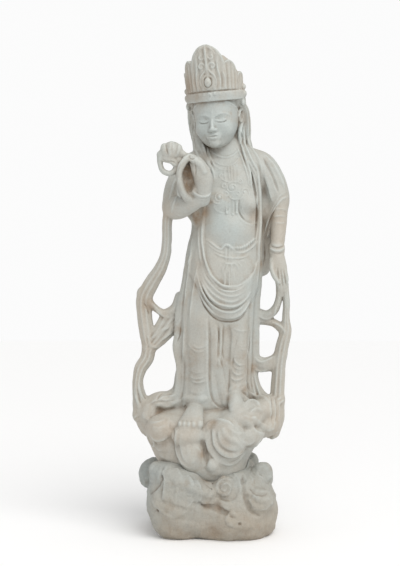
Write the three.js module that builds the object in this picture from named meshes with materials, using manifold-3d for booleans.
import * as THREE from 'three';
import { mergeVertices } from 'three/addons/utils/BufferGeometryUtils.js';
import Module from 'manifold-3d';

// A standing marble figure on a cloud mount, resting in the seat of a separate cloud plinth.
// Millimetres, +Z up, the figure looks along -Y. Its own parts are measured up from its soles.

// Driving dimensions
const FIGURE_HEIGHT = 1000;
const MOUNT_WIDTH = 400;
const MOUNT_DEPTH = 250;
const MOUNT_HEIGHT = 150;
const PLINTH_LENGTH = 376;
const PLINTH_DEPTH = 222;
const PLINTH_HEIGHT = 191;
const PLINTH_TURN_DEG = -36;
const PLINTH_SET_BACK = 12;
const SEAT_DEPTH = 60;
const SEAT_CLEARANCE = 0.5;

// How far thinning may move the surface, in how many passes, and the faces that it keeps
const THINNING = 0.8;
const THINNING_PASSES = 4;
const SMALLEST_FACE = 0.02;
const LEAST_FACE_TURN = 0.3;
// Points nearer than this are one point
const WELD = 1e-4;

// The figure's tables are in thousandths of its height, so one of them is this many millimetres
const PART = FIGURE_HEIGHT / 1000;

// The mount's foot stands this high above the ground, and the soles this much higher
const FOOT_LEVEL = PLINTH_HEIGHT - SEAT_DEPTH;
const SOLE_LEVEL = FOOT_LEVEL + MOUNT_HEIGHT;

const wasm = await Module();
wasm.setup();

// Solids are closed meshes with shared vertices, joined and cut exactly

function toSolid(geometry) {
  const bare = geometry.clone();
  bare.deleteAttribute('normal');
  bare.deleteAttribute('uv');
  const merged = mergeVertices(bare, WELD);
  return new wasm.Manifold(new wasm.Mesh({
    numProp: 3,
    vertProperties: new Float32Array(merged.attributes.position.array),
    triVerts: new Uint32Array(merged.index.array),
  }));
}

function toGeometry(solid) {
  const mesh = solid.getMesh();
  const geometry = new THREE.BufferGeometry();
  geometry.setAttribute('position', new THREE.BufferAttribute(new Float32Array(mesh.vertProperties), 3));
  geometry.setIndex(new THREE.BufferAttribute(new Uint32Array(mesh.triVerts), 1));
  return geometry;
}

function joined(solids) {
  return solids.reduce((whole, next) => whole.add(next));
}

// Closes up the edges that the surface doesn't need: a vertex is moved onto its neighbour where the
// surface then moves by less than a tolerance and no face around it turns by much
function thinned(solid, tolerance) {
  const { vertProperties, triVerts, numProp } = solid.getMesh();
  const places = Array.from({ length: vertProperties.length / numProp }, (_, i) => (
    new THREE.Vector3().fromArray(vertProperties, i * numProp)));
  const faces = Array.from({ length: triVerts.length / 3 }, (_, i) => [...triVerts.slice(3 * i, 3 * i + 3)]);
  const around = places.map(() => new Set());
  faces.forEach((face, f) => face.forEach((v) => around[v].add(f)));
  const moved = places.map(() => 0);
  const neighbours = (v) => new Set([...around[v]].flatMap((f) => faces[f]).filter((w) => w !== v));
  const normal = ([a, b, c]) => (
    places[b].clone().sub(places[a]).cross(places[c].clone().sub(places[a])));
  const cost = (from, to) => {
    const shared = [...neighbours(from)].filter((v) => neighbours(to).has(v));
    if (shared.length !== 2) return Infinity;
    const shift = places[to].clone().sub(places[from]);
    let most = 0;
    for (const f of around[from]) {
      if (faces[f].includes(to)) continue;
      const before = normal(faces[f]).normalize();
      const after = normal(faces[f].map((v) => (v === from ? to : v)));
      const size = after.length();
      if (size < SMALLEST_FACE || after.dot(before) < size * LEAST_FACE_TURN) return Infinity;
      most = Math.max(most, Math.abs(before.dot(shift)));
    }
    return most + moved[from];
  };
  const close = (from, to, change) => {
    moved[to] = Math.max(moved[to], change);
    for (const f of around[from]) {
      if (faces[f].includes(to)) {
        faces[f].forEach((v) => v !== from && around[v].delete(f));
        faces[f] = null;
      } else {
        faces[f] = faces[f].map((v) => (v === from ? to : v));
        around[to].add(f);
      }
    }
    around[from] = new Set();
  };
  for (let pass = 0; pass < THINNING_PASSES; pass += 1) {
    for (let v = 0; v < places.length; v += 1) {
      const choices = [...neighbours(v)].map((to) => [cost(v, to), to]).sort((a, b) => a[0] - b[0]);
      if (choices.length > 0 && choices[0][0] < (tolerance * (pass + 1)) / THINNING_PASSES) {
        close(v, choices[0][1], choices[0][0]);
      }
    }
  }
  const geometry = new THREE.BufferGeometry().setFromPoints(places);
  geometry.setIndex(faces.filter(Boolean).flat());
  return toSolid(geometry);
}

// The same solid with every point pushed outwards by a margin
function grown(solid, margin) {
  const geometry = toGeometry(solid);
  geometry.computeVertexNormals();
  const { position, normal } = geometry.attributes;
  const place = new THREE.Vector3();
  const outward = new THREE.Vector3();
  for (let i = 0; i < position.count; i += 1) {
    outward.fromBufferAttribute(normal, i);
    place.fromBufferAttribute(position, i).addScaledVector(outward, margin);
    position.setXYZ(i, place.x, place.y, place.z);
  }
  return toSolid(geometry);
}

// A closed skin over rings of equal point counts, each end closed by a fan
function skin(rings) {
  const count = rings[0].length;
  const places = rings.flat();
  const middle = (ring) => ring.reduce((sum, p) => sum.add(p), new THREE.Vector3()).divideScalar(count);
  const first = places.push(middle(rings[0])) - 1;
  const last = places.push(middle(rings[rings.length - 1])) - 1;
  const faces = [];
  for (let i = 0; i < count; i += 1) {
    const j = (i + 1) % count;
    faces.push(first, j, i);
    for (let r = 0; r + 1 < rings.length; r += 1) {
      const low = r * count;
      const high = low + count;
      faces.push(low + i, low + j, high + j, low + i, high + j, high + i);
    }
    const top = (rings.length - 1) * count;
    faces.push(last, top + i, top + j);
  }
  const geometry = new THREE.BufferGeometry().setFromPoints(places);
  geometry.setIndex(signedVolume(places, faces) < 0 ? faces.reverse() : faces);
  return toSolid(geometry);
}

function signedVolume(places, faces) {
  let sum = 0;
  for (let f = 0; f < faces.length; f += 3) {
    const [a, b, c] = [places[faces[f]], places[faces[f + 1]], places[faces[f + 2]]];
    sum += a.dot(b.clone().cross(c));
  }
  return sum;
}

// Reads a table of stations at a height, with smooth steps between its rows
function station(table, z) {
  const last = table.length - 1;
  let row = 0;
  while (row < last - 1 && z > table[row + 1][0]) row += 1;
  const t = THREE.MathUtils.clamp((z - table[row][0]) / (table[row + 1][0] - table[row][0]), 0, 1);
  const [before, low, high, after] = [Math.max(row - 1, 0), row, row + 1, Math.min(row + 2, last)]
    .map((i) => table[i]);
  return low.map((value, i) => {
    const slopeIn = (high[i] - before[i]) / 2;
    const slopeOut = (after[i] - value) / 2;
    const t2 = t * t;
    const t3 = t2 * t;
    return (2 * t3 - 3 * t2 + 1) * value + (t3 - 2 * t2 + t) * slopeIn
      + (3 * t2 - 2 * t3) * high[i] + (t3 - t2) * slopeOut;
  });
}

// A level ring: a rounded rectangle between an ellipse and a box, pushed out by a relief function
function levelRing([z, x, y, halfWidth, halfDepth], sides, squareness, relief = () => 0) {
  return Array.from({ length: sides }, (_, i) => {
    const angle = (2 * Math.PI * i) / sides;
    const [c, s] = [Math.cos(angle), Math.sin(angle)];
    const push = 1 + relief(angle, z);
    const share = 2 / squareness;
    return new THREE.Vector3(
      x + halfWidth * push * Math.sign(c) * Math.abs(c) ** share,
      y + halfDepth * push * Math.sign(s) * Math.abs(s) ** share,
      z,
    );
  });
}

// A round or flattened bar along a smooth path. Rows are x, y, z, half width, half thickness.
// The width lies across the path and across the facing direction, ridges run lengthwise, and
// both ends are drawn in to a share of their size.
function bar(rows, steps, sides, { facing = [0, -1, 0], ridges = 0, ridgeDepth = 0, end = 0.6 } = {}) {
  const places = rows.map(([x, y, z]) => new THREE.Vector3(x, y, z));
  const path = new THREE.CatmullRomCurve3(places, false, 'centripetal');
  const toward = new THREE.Vector3(...facing);
  const last = rows.length - 1;
  const rings = Array.from({ length: steps + 1 }, (_, step) => {
    const t = step / steps;
    const place = path.getPoint(t);
    const along = path.getTangent(t);
    const across = along.clone().cross(toward).normalize();
    const front = across.clone().cross(along).normalize();
    const low = Math.min(Math.floor(t * last), last - 1);
    const shrink = step === 0 || step === steps ? end : 1;
    const size = (column) => (
      shrink * THREE.MathUtils.lerp(rows[low][column], rows[low + 1][column], t * last - low));
    return Array.from({ length: sides }, (_unused, i) => {
      const angle = (2 * Math.PI * (i + 0.5)) / sides;
      const u = Math.cos(angle);
      const groove = 1 - ridgeDepth * (0.5 - 0.5 * Math.cos(2 * Math.PI * ridges * (u * 0.5 + 0.5)));
      return place.clone()
        .addScaledVector(across, u * size(3))
        .addScaledVector(front, Math.sin(angle) * size(4) * groove);
    });
  });
  return skin(rings);
}

// A rounded lump with its three half sizes, turned by degrees about X, Y and Z
function lump([x, y, z], [rx, ry, rz], turn = [0, 0, 0], detail = 1) {
  const geometry = new THREE.IcosahedronGeometry(1, detail);
  const angles = turn.map((degrees) => THREE.MathUtils.degToRad(degrees));
  geometry.applyMatrix4(new THREE.Matrix4().compose(
    new THREE.Vector3(x, y, z),
    new THREE.Quaternion().setFromEuler(new THREE.Euler(...angles)),
    new THREE.Vector3(rx, ry, rz),
  ));
  return toSolid(geometry);
}

// A cloud curl: a ridge that winds in to a ball on a face turned by an angle about Z
const CURL = { windIn: 0.72, taper: 0.35, sides: 5 };

function curl([x, y, z], radius, thickness, { turns = 1.1, heading = 0, start = 0, steps = 12 } = {}) {
  const head = THREE.MathUtils.degToRad(heading);
  const rows = Array.from({ length: steps + 1 }, (_, i) => {
    const t = i / steps;
    const angle = THREE.MathUtils.degToRad(start) + 2 * Math.PI * turns * t;
    const reach = radius * (1 - CURL.windIn * t);
    const across = reach * Math.cos(angle);
    const size = thickness * (1 - CURL.taper * t);
    const place = [x + across * Math.cos(head), y + across * Math.sin(head), z + reach * Math.sin(angle)];
    return [...place, size, size];
  });
  return bar(rows, steps, CURL.sides, { facing: [Math.sin(head), -Math.cos(head), 0] });
}

// Body, robe and skirt
// Rows are height, middle x, middle y, half width and half depth

const BODY = [
  [36, 8, 8, 104, 70],
  [50, 8, 5, 114, 77],
  [112, 8, 5, 105, 73],
  [155, 11, 5, 106, 72],
  [197, 8, 4, 112, 74],
  [240, 11, 4, 110, 75],
  [277, 13, 4, 110, 78],
  [325, 18, 4, 107, 82],
  [365, 25, 4, 105, 84],
  [410, 30, 4, 103, 84],
  [437, 32, 3, 101, 82],
  [474, 36, 2, 98, 78],
  [506, 40, 2, 94, 76],
  [538, 41, 3, 93, 73],
  [573, 39, 4, 95, 74],
  [604, 38, 5, 98, 74],
  [644, 40, 8, 100, 68],
  [671, 43, 10, 100, 61],
  [698, 45, 12, 95, 53],
  [716, 44, 13, 78, 46],
  [734, 40, 12, 58, 40],
  [752, 35, 10, 44, 36],
];
const BODY_SQUARENESS = 2.3;
const BODY_SIDES = 38;
const BODY_LEVELS = 18;
const SKIRT = {
  top: 430, foldFade: 160, foldCount: 9, foldDepth: 0.05, foldLean: 0.006,
  legTop: 340, legFade: 80, legDepth: 0.1, legRest: 0.45, frontFrom: 0.5, frontFade: 0.3,
};
// Where the legs press the cloth, as shares of the half width, with the spread and weight of each
const LEGS = [[-0.5, 0.25, 1], [0.6, 0.2, 0.8]];

// Long folds at the sides and back of the skirt, and the two legs pressing it in front
function bodyRelief(angle, z) {
  const front = THREE.MathUtils.clamp((-Math.sin(angle) - SKIRT.frontFrom) / SKIRT.frontFade, 0, 1);
  const below = THREE.MathUtils.clamp((SKIRT.top - z) / SKIRT.foldFade, 0, 1);
  const legs = THREE.MathUtils.clamp((SKIRT.legTop - z) / SKIRT.legFade, 0, 1);
  const wave = Math.cos(SKIRT.foldCount * angle + SKIRT.foldLean * z);
  const press = LEGS.reduce((sum, [middle, spread, share]) => (
    sum + share * Math.exp(-(((Math.cos(angle) - middle) / spread) ** 2))), 0);
  const folds = SKIRT.foldDepth * below * (1 - front) * wave;
  return folds + SKIRT.legDepth * legs * front * (press - SKIRT.legRest);
}

function bodySolid() {
  const low = BODY[0][0];
  const high = BODY[BODY.length - 1][0];
  const rings = Array.from({ length: BODY_LEVELS + 1 }, (_, i) => {
    const z = low + ((high - low) * i) / BODY_LEVELS;
    return levelRing(station(BODY, z), BODY_SIDES, BODY_SQUARENESS, bodyRelief);
  });
  return skin(rings);
}

// A place on the body's front at x and z, standing off by a lift
function onBody(x, z, lift = 0) {
  const [, middleX, middleY, halfWidth, halfDepth] = station(BODY, z);
  const u = Math.min(Math.abs(x - middleX) / halfWidth, 0.97);
  const y = middleY - halfDepth * (1 - u ** BODY_SQUARENESS) ** (1 / BODY_SQUARENESS);
  return [x, y - lift, z];
}

// A ridge of cloth or cord laid on the body's front along x and z places
function ridgeOnBody(places, halfWidth, halfThickness, steps, lift = 0) {
  const rows = places.map(([x, z]) => [...onBody(x, z, lift), halfWidth, halfThickness]);
  return bar(rows, steps, 5);
}

// Apron swags: nested hanging folds between the hips
const SWAG = {
  count: 5, leftX: -32, rightX: 116, leftZ: 462, rightZ: 436, lowX: 46, topLowZ: 364, bottomLowZ: 284,
  halfWidth: 9, halfThickness: 9, curve: 1.45, rise: 2.2,
};

function swags() {
  return Array.from({ length: SWAG.count }, (_, i) => {
    const share = i / (SWAG.count - 1);
    const low = THREE.MathUtils.lerp(SWAG.topLowZ, SWAG.bottomLowZ, share);
    const places = [-1, -0.75, -0.5, -0.25, 0, 0.25, 0.5, 0.75, 1].map((t) => {
      const end = t < 0 ? SWAG.leftX - 14 * share : SWAG.rightX;
      const top = (t < 0 ? SWAG.leftZ : SWAG.rightZ) - 40 * share;
      const x = SWAG.lowX + ((end - SWAG.lowX) * Math.sin(Math.abs(t) * SWAG.curve)) / Math.sin(SWAG.curve);
      return [x, low + (top - low) * Math.abs(t) ** SWAG.rise];
    });
    return ridgeOnBody(places, SWAG.halfWidth, SWAG.halfThickness, 9, -2);
  });
}

// Pleats that hang between the legs, and the fold along the outer leg
function pleats() {
  return [
    ridgeOnBody([[-4, 290], [-4, 190], [-2, 60]], 8, 9, 4),
    ridgeOnBody([[22, 290], [24, 190], [30, 110], [36, 56]], 12, 9, 5),
    ridgeOnBody([[112, 330], [106, 200], [108, 70]], 9, 10, 4),
  ];
}

// Breast, belly, rolled sash, belt bow, the robe's open edges and the necklace
function chestAndWaist() {
  const soft = [
    lump([10, -48, 586], [36, 26, 32]),
    lump([82, -47, 583], [35, 26, 32]),
    lump([43, -46, 512], [60, 34, 46]),
  ];
  const sash = [
    ridgeOnBody([[-24, 500], [6, 480], [38, 466], [70, 474], [118, 496]], 10, 9, 7, 1),
    ridgeOnBody([[-20, 474], [20, 446], [60, 442], [120, 472]], 6, 7, 6, 1),
    lump(onBody(42, 442, 6), [11, 9, 10], [0, 0, 0], 0),
    ...[-24, 24].map((loop) => ridgeOnBody([[42, 441], [42 + loop, 448], [42 + loop, 428]], 6, 6, 4, 4)),
    ...[-10, 10].map((tail) => ridgeOnBody([[42, 436], [42 + tail, 372]], 7, 6, 2, 2)),
  ];
  const edges = [
    ridgeOnBody([[74, 742], [92, 700], [108, 650], [118, 595], [124, 530], [126, 470], [122, 410]], 9, 12, 8),
    ridgeOnBody([[-12, 730], [-8, 690], [-14, 620], [-30, 550], [-32, 500], [-24, 455]], 9, 12, 7),
  ];
  const necklace = [
    ridgeOnBody([[-4, 712], [10, 692], [36, 682], [62, 690], [76, 712]], 6, 7, 6, 1),
    ridgeOnBody([[0, 655], [20, 638], [42, 630], [64, 638], [84, 656]], 7, 7, 6, 1),
    lump(onBody(42, 630, 4), [16, 9, 20]),
    ridgeOnBody([[42, 614], [42, 552]], 7, 8, 2, 3),
  ];
  return [...soft, ...sash, ...edges, ...necklace];
}

// Hanging arm on the viewer's right, its sleeve, the robe behind it and its hand
function hangingArm() {
  const arm = bar([
    [92, 14, 692, 44, 40], [128, 6, 680, 42, 40], [156, 0, 648, 36, 37], [172, -3, 606, 31, 33],
    [177, -9, 572, 25, 27], [176, -16, 530, 22, 23], [173, -24, 490, 20, 21], [169, -32, 450, 16, 17],
  ], 11, 9, { end: 0.85 });
  const sleeve = bar([
    [164, 0, 630, 30, 32], [173, -2, 600, 32, 34], [174, 0, 576, 30, 33], [166, 8, 560, 26, 30],
  ], 3, 9, { end: 0.8 });
  const armlet = bar([[177, -11, 556, 26, 27], [177, -12, 542, 26, 27]], 2, 9, { end: 0.8 });
  const bracelet = bar([[170, -30, 464, 20, 20], [169, -31, 454, 20, 20]], 2, 9, { end: 0.8 });
  const robe = bar([
    [104, 26, 700, 40, 22], [126, 26, 620, 48, 26], [130, 24, 540, 47, 26],
    [133, 20, 470, 42, 24], [126, 16, 408, 30, 20],
  ], 6, 9);
  const palm = bar([
    [168, -33, 458, 15, 14], [171, -40, 430, 22, 15], [176, -45, 405, 22, 14], [181, -47, 384, 17, 11],
  ], 4, 8);
  const fingers = [0, 1, 2, 3].map((i) => bar([
    [172 + 7 * i, -46 + i, 396, 6, 7], [177 + 6.5 * i, -53 + i, 374, 5.5, 6.5],
    [182 + 5 * i, -50 + i, 354, 5, 6], [184 + 4 * i, -42, 342, 4, 5],
  ], 3, 5));
  const thumb = bar([[158, -42, 424, 8, 8], [160, -51, 402, 7, 7], [171, -56, 382, 5, 5]], 3, 5);
  return [arm, sleeve, armlet, bracelet, robe, palm, ...fingers, thumb];
}

// Raised arm on the viewer's left, which comes forward and holds the lotus stem
function raisedArm() {
  const sleeve = bar([
    [-26, 14, 688, 44, 42], [-56, 8, 672, 42, 42], [-80, 0, 642, 39, 40],
    [-94, -8, 606, 34, 38], [-100, -18, 578, 30, 34],
  ], 6, 9);
  const forearm = bar([
    [-102, -14, 582, 28, 29], [-102, -42, 562, 26, 28], [-82, -72, 562, 23, 25],
    [-54, -96, 574, 20, 22], [-28, -114, 590, 18, 19],
  ], 7, 9, { facing: [0, 0, 1] });
  const bracelet = bar([
    [-40, -106, 582, 21, 22], [-31, -112, 587, 21, 22],
  ], 2, 9, { facing: [0, 0, 1], end: 0.8 });
  const palm = bar([
    [-28, -114, 590, 18, 15], [-16, -126, 610, 24, 16], [-14, -131, 640, 26, 17],
    [-18, -132, 664, 24, 15],
  ], 4, 8);
  const fingers = [0, 1, 2, 3].map((i) => bar([
    [-6 - 10 * i, -136, 658 + 2 * i, 7, 7], [-18 - 9 * i, -144, 682 - 3 * i, 6.5, 6.5],
    [-40 - 6 * i, -144, 688 - 7 * i, 6, 6], [-58 - 3 * i, -136, 680 - 10 * i, 5, 5],
  ], 4, 5));
  const thumb = bar([
    [-34, -118, 624, 10, 9], [-48, -134, 652, 8, 8], [-66, -138, 676, 6, 6],
  ], 3, 5);
  const drape = bar([
    [-66, 0, 604, 34, 42], [-48, -16, 560, 22, 34], [-36, -30, 530, 12, 20],
  ], 3, 8);
  return [sleeve, forearm, bracelet, palm, ...fingers, thumb, drape];
}

// Lotus bud with its petals, its stem and the curled tendril beside it
const LOTUS = { x: -106, y: -128, z: 704 };

function lotus() {
  const heart = lump([LOTUS.x, LOTUS.y, LOTUS.z + 4], [24, 22, 18]);
  const petals = [-72, -30, 30, 72].map((degrees) => {
    const angle = THREE.MathUtils.degToRad(degrees);
    return lump(
      [LOTUS.x + 20 * Math.sin(angle), LOTUS.y - 10 * Math.cos(angle), LOTUS.z - 3 + 6 * Math.cos(angle)],
      [13, 12, 14],
      [0, degrees * 0.5, 0],
    );
  });
  const stem = bar([
    [-98, -128, 696, 9, 10], [-88, -129, 672, 8, 9], [-79, -122, 632, 8, 9], [-60, -98, 578, 8, 9],
  ], 5, 6);
  const tendril = bar([
    [-116, -127, 698, 6, 7], [-130, -127, 688, 5.5, 7], [-137, -127, 670, 5.5, 7], [-130, -127, 652, 5.5, 7],
    [-113, -127, 645, 5.5, 7], [-96, -127, 653, 5.5, 7], [-86, -127, 668, 6, 7],
  ], 10, 6);
  return [heart, ...petals, stem, tendril];
}

// Scarves that leave the arms, swing free of the skirt and end on the mount
const RIBBED = { ridges: 2, ridgeDepth: 0.3 };

function scarves() {
  const near = bar([
    [-108, -34, 590, 17, 16], [-117, -42, 530, 13, 14], [-118, -35, 483, 13, 14], [-123, -28, 441, 14, 15],
    [-138, -20, 405, 17, 16], [-161, -12, 368, 20, 17], [-179, -5, 331, 21, 18], [-179, 0, 286, 20, 19],
    [-173, 0, 241, 20, 19], [-168, 0, 203, 18, 18], [-172, -2, 172, 18, 18], [-188, -5, 146, 17, 18],
    [-196, -8, 112, 14, 18], [-192, -8, 72, 18, 22], [-182, -5, 34, 26, 26], [-158, 0, -12, 30, 28],
  ], 22, 9, RIBBED);
  const nearLoop = bar([
    [-184, -2, 346, 14, 14], [-160, -5, 314, 9, 13], [-128, -6, 292, 10, 13], [-100, -6, 302, 11, 15],
    [-86, 0, 336, 12, 18],
  ], 6, 7);
  const nearFlare = bar([
    [-80, 0, 300, 24, 14], [-108, -6, 272, 30, 14], [-136, -8, 234, 26, 14], [-168, -4, 196, 15, 14],
  ], 5, 9, RIBBED);
  const nearScroll = bar([
    [-192, -4, 20, 18, 28], [-162, -8, 46, 24, 32], [-140, -10, 58, 25, 34], [-112, -10, 58, 28, 36],
    [-90, -6, 84, 18, 28], [-86, 0, 130, 10, 16],
  ], 7, 9, RIBBED);
  const far = bar([
    [192, -38, 366, 8, 10], [195, -34, 320, 9, 13], [194, -28, 280, 10, 14], [194, -24, 244, 15, 16],
    [185, -20, 207, 17, 17], [178, -16, 168, 17, 18], [174, -14, 115, 18, 18], [171, -14, 62, 19, 20],
    [171, -14, 18, 20, 24], [158, -10, -20, 22, 26],
  ], 15, 9, RIBBED);
  const farLoop = bar([
    [170, -40, 392, 8, 10], [175, -36, 362, 8, 12], [174, -30, 326, 9, 13], [164, -24, 300, 11, 14],
    [144, -15, 286, 13, 15], [112, -4, 290, 18, 16],
  ], 8, 7);
  const farBridge = bar([
    [190, -22, 246, 13, 14], [166, -16, 264, 11, 13], [142, -10, 272, 13, 14], [112, -4, 276, 16, 16],
  ], 4, 7);
  const farWeb = bar([
    [182, -16, 180, 14, 14], [160, -14, 160, 19, 15], [136, -12, 155, 19, 15], [106, -6, 166, 20, 16],
  ], 4, 7);
  const farScroll = bar([
    [106, -4, 160, 8, 16], [112, -8, 104, 14, 26], [128, -10, 62, 24, 34], [152, -12, 50, 24, 34],
    [176, -12, 62, 16, 28],
  ], 6, 9, RIBBED);
  return [near, nearLoop, nearFlare, nearScroll, far, farLoop, farBridge, farWeb, farScroll];
}

// Feet: the near one points at the viewer, the far one is turned out
const NEAR_TOES = [[-80, -119, 7], [-69, -123, 8], [-58, -126, 8], [-46, -127, 9], [-32, -124, 11]];
const FAR_TOES = [[66, -108, 10], [79, -108, 9], [90, -104, 8], [100, -98, 7]];

function feet() {
  const near = bar([
    [-52, -56, 62, 31, 26], [-53, -92, 42, 32, 22], [-54, -120, 20, 33, 14],
  ], 4, 9, { facing: [0, 0, 1] });
  const far = bar([
    [66, -40, 88, 24, 26], [74, -70, 62, 27, 26], [83, -98, 34, 26, 16],
  ], 4, 9, { facing: [0, 0, 1] });
  const nearToes = NEAR_TOES.map(([x, y, size]) => lump([x, y, 13], [size, 14, 10], [0, 0, 0], 0));
  const farToes = FAR_TOES.map(([x, y, size]) => lump([x, y, 28], [size, 13, 9], [0, 0, 20], 0));
  return [near, far, ...nearToes, ...farToes];
}

// Head, hair and crown share one tilted place on the neck

const HEAD = {
  x: 15, y: -6, z: 806, tipDown: 9, lean: -3, turnAside: -13, sides: 18, levels: 8, squareness: 2.15,
};
// Rows of the skull and face from chin to top: height, x, middle y, half width, half depth
const SKULL = [
  [-80, 0, -40, 12, 10],
  [-73, 0, -36, 26, 24],
  [-58, 0, -24, 40, 40],
  [-36, 0, -12, 50, 56],
  [-8, 0, -5, 57, 66],
  [24, 0, -1, 60, 69],
  [52, 0, 2, 60, 68],
  [76, 0, 4, 52, 58],
];

function placedOnHead(solid) {
  return solid.rotate([HEAD.tipDown, HEAD.lean, HEAD.turnAside]).translate([HEAD.x, HEAD.y, HEAD.z]);
}

function faceSolids() {
  const [low, high] = [SKULL[0][0], SKULL[SKULL.length - 1][0]];
  const rings = Array.from({ length: HEAD.levels + 1 }, (_, i) => {
    const row = station(SKULL, THREE.MathUtils.lerp(low, high, i / HEAD.levels));
    return levelRing(row, HEAD.sides, HEAD.squareness);
  });
  const nose = bar([[0, -62, 16, 6, 7], [0, -69, -6, 6, 8], [0, -71, -20, 10, 9]], 2, 5);
  const lids = [-1, 1].map((side) => lump([side * 23, -59, 4], [14, 8, 6], [0, 0, side * 14]));
  const lips = lump([0, -58, -42], [15, 8, 7], [0, 0, 0], 0);
  const ears = [-1, 1].map((side) => bar([
    [side * 60, 6, 16, 10, 7], [side * 62, 6, -6, 11, 8], [side * 58, 2, -58, 7, 6],
  ], 3, 6, { facing: [side, -0.4, 0] }));
  return [skin(rings), nose, ...lids, lips, ...ears];
}

// The crown: a band, then upright plates around a bun of hair, tallest at the front
const CROWN = {
  baseZ: 38, bandTop: 68, radiusX: 76, radiusY: 77, flare: 0.07, plateThickness: 13, roundness: 2,
  bandSides: 22, bunSides: 14,
};
// Rows are the plate's direction and half spread in degrees, and its tip height
const PLATES = [
  [0, 36, 186], [-42, 21, 149], [42, 22, 143], [-74, 19, 121], [76, 19, 113], [-106, 18, 106], [108, 18, 102],
];
const PLATE_LEVELS = [0, 0.5, 0.8, 0.95, 1];
// The plate's head starts to narrow at this level, and at this length above it the width would be nothing
const PLATE_HEAD = { from: 0.4, length: 0.62, leastWidth: 0.17 };

function crownPoint(angleDeg, z, inset) {
  const angle = THREE.MathUtils.degToRad(angleDeg);
  const open = 1 + CROWN.flare * ((z - CROWN.bandTop) / 100);
  return new THREE.Vector3(
    (CROWN.radiusX * open - inset) * Math.sin(angle),
    -(CROWN.radiusY * open - inset) * Math.cos(angle),
    z,
  );
}

function plate([direction, spread, tip]) {
  const rings = PLATE_LEVELS.map((level) => {
    const z = THREE.MathUtils.lerp(CROWN.bandTop - 10, tip, level);
    const rise = Math.max((level - PLATE_HEAD.from) / PLATE_HEAD.length, 0);
    const wide = spread * Math.max(Math.sqrt(Math.max(1 - rise ** 2, 0)), PLATE_HEAD.leastWidth);
    const outer = [-1, -0.35, 0.35, 1].map((u) => crownPoint(direction + wide * u, z, 2 * u * u));
    const inner = [1, -1].map((u) => crownPoint(direction + wide * u, z, CROWN.plateThickness));
    return [...outer, ...inner];
  });
  return skin(rings);
}

function crownSolids() {
  const band = skin([
    [CROWN.baseZ, 0, 0, CROWN.radiusX - 6, CROWN.radiusY - 6],
    [CROWN.baseZ + 4, 0, 0, CROWN.radiusX, CROWN.radiusY],
    [CROWN.bandTop - 4, 0, 0, CROWN.radiusX + 1, CROWN.radiusY + 1],
    [CROWN.bandTop, 0, 0, CROWN.radiusX - 5, CROWN.radiusY - 5],
  ].map((row) => levelRing(row, CROWN.bandSides, CROWN.roundness)));
  const bun = skin([
    [CROWN.bandTop - 8, 0, 0, 68, 70],
    [112, 0, 0, 64, 66],
    [142, 0, 0, 50, 52],
    [162, 0, 0, 26, 28],
  ].map((row) => levelRing(row, CROWN.bunSides, CROWN.roundness)));
  const jewel = lump([0, -CROWN.radiusY - 3, 92], [12, 9, 15]);
  const spine = bar([[0, -79, 100, 6, 7], [0, -83, 179, 5, 6]], 2, 5);
  return [band, bun, ...PLATES.map(plate), jewel, spine];
}

// Hair at the sides and back of the head, which falls on the shoulders as ribbons
function hairSolids() {
  const fall = bar([
    [0, 40, 66, 62, 32], [0, 52, 20, 64, 34], [4, 56, -40, 64, 34], [8, 52, -90, 70, 30],
    [10, 46, -140, 62, 22], [10, 42, -190, 44, 14],
  ], 7, 10);
  const temples = [-1, 1].map((side) => bar([
    [side * 58, -16, 42, 14, 14], [side * 62, 10, 10, 14, 20], [side * 60, 22, -30, 16, 22],
    [side * 56, 28, -64, 18, 22],
  ], 4, 7));
  return [fall, ...temples];
}

function ribbons() {
  return [
    bar([[82, 4, 850, 9, 11], [86, 6, 800, 10, 12], [90, 4, 758, 11, 12], [98, -16, 716, 10, 10],
      [104, -42, 672, 8, 8]], 6, 6),
    bar([[-34, 2, 782, 8, 10], [-34, -4, 748, 10, 11], [-26, -26, 712, 10, 9], [-16, -48, 670, 8, 8]], 5, 6),
  ];
}

function neck() {
  return bar([[36, 8, 722, 44, 38], [30, 4, 754, 38, 37], [20, 0, 784, 38, 40]], 2, 12, { end: 1 });
}

// The cloud mount. Its tables are shares of its half width, half depth and height, down from the soles.

function onMount(x, y, z) {
  return [(x * MOUNT_WIDTH) / 2, (y * MOUNT_DEPTH) / 2, z * MOUNT_HEIGHT];
}

const MOUNT_SIDES = 26;
const MOUNT_SQUARENESS = 2.1;
const MOUNT_CORE = [
  [-1.0, 0.04, -0.18, 0.22, 0.34],
  [-0.93, 0.01, -0.16, 0.4, 0.6],
  [-0.8, -0.07, -0.12, 0.52, 0.76],
  [-0.62, -0.12, -0.1, 0.6, 0.84],
  [-0.44, -0.12, -0.08, 0.67, 0.88],
  [-0.28, -0.1, -0.06, 0.74, 0.9],
  [-0.1, -0.02, -0.04, 0.86, 0.9],
  [0.08, -0.02, -0.02, 0.86, 0.84],
  [0.2, -0.02, 0.02, 0.76, 0.72],
  [0.3, 0.02, 0.08, 0.58, 0.6],
];
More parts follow.
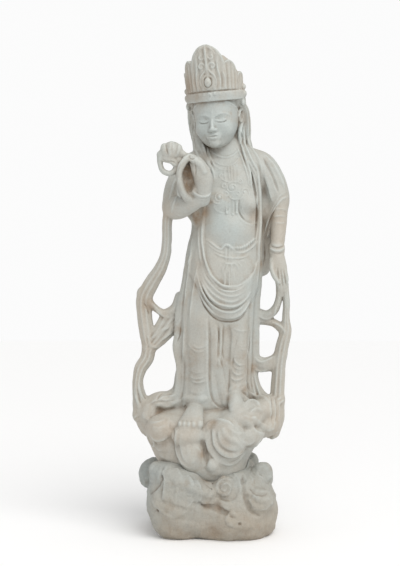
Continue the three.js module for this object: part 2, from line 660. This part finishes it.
// Lumps of cloud: middle and half sizes
const MOUNT_LUMPS = [
  [[-0.3, -0.88, -0.1], [0.22, 0.24, 0.2]],
  [[-0.27, -0.8, -0.46], [0.13, 0.22, 0.32]],
  [[0.17, -0.8, -0.2], [0.27, 0.3, 0.38]],
  [[0.03, -0.8, -0.63], [0.1, 0.16, 0.18]],
  [[0.46, -0.6, -0.14], [0.2, 0.3, 0.2]],
  [[0.68, -0.26, 0.02], [0.22, 0.36, 0.24]],
  [[0.78, 0.0, 0.2], [0.15, 0.4, 0.28]],
  [[-0.6, -0.5, -0.04], [0.26, 0.4, 0.26]],
  [[-0.82, 0.0, 0.14], [0.17, 0.4, 0.32]],
  [[0.36, -0.56, 0.14], [0.3, 0.34, 0.2]],
  [[-0.55, 0.62, -0.05], [0.26, 0.3, 0.26]],
  [[0.0, 0.74, -0.14], [0.32, 0.24, 0.3]],
  [[0.55, 0.62, -0.05], [0.26, 0.3, 0.26]],
];
// Curls: middle, radius and ridge as shares of the mount's height, heading and start angle
const MOUNT_CURLS = [
  [[0.17, -1.04, -0.2], 0.27, 0.06, { heading: 4, start: 200, turns: 1.2 }],
  [[0.49, -0.8, -0.14], 0.17, 0.055, { heading: 28, start: 120, turns: 1.1, steps: 9 }],
  [[-0.3, -1.06, -0.08], 0.13, 0.05, { heading: -6, start: 20, turns: -1.0, steps: 8 }],
  [[0.0, 0.94, -0.14], 0.2, 0.06, { heading: 180, start: 200, turns: 1.1 }],
];

function mountSolids() {
  const core = skin(MOUNT_CORE.map(([z, x, y, halfWidth, halfDepth]) => {
    const [middleX, middleY, height] = onMount(x, y, z);
    const [reachX, reachY] = onMount(halfWidth, halfDepth, 0);
    return levelRing([height, middleX, middleY, reachX, reachY], MOUNT_SIDES, MOUNT_SQUARENESS);
  }));
  const lumps = MOUNT_LUMPS.map(([place, size]) => lump(onMount(...place), onMount(...size)));
  const curls = MOUNT_CURLS.map(([place, radius, thickness, options]) => curl(
    onMount(...place),
    radius * MOUNT_HEIGHT,
    thickness * MOUNT_HEIGHT,
    options,
  ));
  return [core, ...lumps, ...curls];
}

// The plinth. Its tables are shares of its half length, half depth and height, up from the ground.

const PLINTH_SIDES = 28;
const PLINTH_SQUARENESS = 2.35;
const PLINTH_CORE = [
  [0.0, -0.01, 0, 0.9, 0.88],
  [0.06, -0.01, 0, 0.96, 0.955],
  [0.2, -0.01, 0, 1.0, 1.0],
  [0.4, -0.01, 0, 1.0, 1.0],
  [0.56, -0.02, 0, 0.97, 0.97],
  [0.7, -0.02, 0, 0.9, 0.92],
  [0.8, -0.02, 0, 0.8, 0.86],
  [0.88, -0.02, 0, 0.62, 0.74],
  [0.92, -0.02, 0, 0.4, 0.5],
];
const PLINTH_LUMPS = [
  [[-0.87, -0.38, 0.69], [0.22, 0.38, 0.23]],
  [[-0.52, 0.0, 0.64], [0.3, 0.6, 0.33]],
  [[0.26, 0.95, 0.86], [0.12, 0.22, 0.15]],
  [[0.36, 0.3, 0.66], [0.3, 0.5, 0.35]],
  [[0.5, 0.82, 0.68], [0.18, 0.3, 0.18]],
  [[0.7, 0.2, 0.48], [0.22, 0.44, 0.2]],
  [[0.45, -0.62, 0.68], [0.12, 0.24, 0.14]],
  [[0.56, -0.58, 0.24], [0.34, 0.42, 0.2]],
  [[-0.3, -0.66, 0.42], [0.44, 0.34, 0.36]],
  [[-0.44, 0.78, 0.5], [0.3, 0.3, 0.3]],
  [[0.1, 0.82, 0.4], [0.34, 0.28, 0.3]],
];
const PLINTH_CURLS = [
  [[0.45, -0.86, 0.68], 0.11, 0.04, { heading: 34, start: 160, turns: 1.0, steps: 9 }],
  [[-0.4, -0.94, 0.52], 0.2, 0.05, { heading: -6, start: 250, turns: 0.6, steps: 7 }],
  [[0.1, 1.06, 0.42], 0.17, 0.05, { heading: 180, start: 200, turns: 1.1 }],
];

function onPlinth(x, y, z) {
  return [(x * PLINTH_LENGTH) / 2, (y * PLINTH_DEPTH) / 2, z * PLINTH_HEIGHT];
}

function plinthBlock() {
  const core = skin(PLINTH_CORE.map(([z, x, y, halfLength, halfDepth]) => {
    const [middleX, middleY, height] = onPlinth(x, y, z);
    const [reachX, reachY] = onPlinth(halfLength, halfDepth, 0);
    return levelRing([height, middleX, middleY, reachX, reachY], PLINTH_SIDES, PLINTH_SQUARENESS);
  }));
  const lumps = PLINTH_LUMPS.map(([place, size]) => lump(onPlinth(...place), onPlinth(...size)));
  const curls = PLINTH_CURLS.map(([place, radius, thickness, options]) => curl(
    onPlinth(...place),
    radius * PLINTH_HEIGHT,
    thickness * PLINTH_HEIGHT,
    options,
  ));
  return joined([core, ...lumps, ...curls]).rotate([0, 0, PLINTH_TURN_DEG])
    .translate([0, PLINTH_SET_BACK, 0]);
}

// The pieces

function figureSolid() {
  const body = joined([
    bodySolid(), ...swags(), ...pleats(), ...chestAndWaist(), ...hangingArm(), ...raisedArm(),
    ...lotus(), ...scarves(), ...feet(), ...ribbons(), neck(),
    placedOnHead(joined([...faceSolids(), ...crownSolids(), ...hairSolids()])),
  ]);
  const whole = body.scale([PART, PART, PART]).add(joined(mountSolids())).translate([0, 0, SOLE_LEVEL]);
  return thinned(whole, THINNING);
}

// The seat in the plinth is the figure's own foot, grown by the clearance
function plinthSolid(figure) {
  return thinned(plinthBlock(), THINNING).subtract(grown(figure, SEAT_CLEARANCE));
}

const marble = new THREE.MeshStandardMaterial({ color: 0xb9b8b0, roughness: 0.55, metalness: 0 });
const wornMarble = new THREE.MeshStandardMaterial({ color: 0xa8a498, roughness: 0.7, metalness: 0 });

const group = new THREE.Group();

function addPiece(name, solid, material) {
  const mesh = new THREE.Mesh(toGeometry(solid), material);
  mesh.name = name;
  group.add(mesh);
}

const figure = figureSolid();
addPiece('figure', figure, marble);
addPiece('plinth', plinthSolid(figure), wornMarble);

// The origin is on the ground under the middle of the whole part's box
const middle = new THREE.Box3().setFromObject(group).getCenter(new THREE.Vector3());
group.position.set(-middle.x, -middle.y, 0);

export default group;
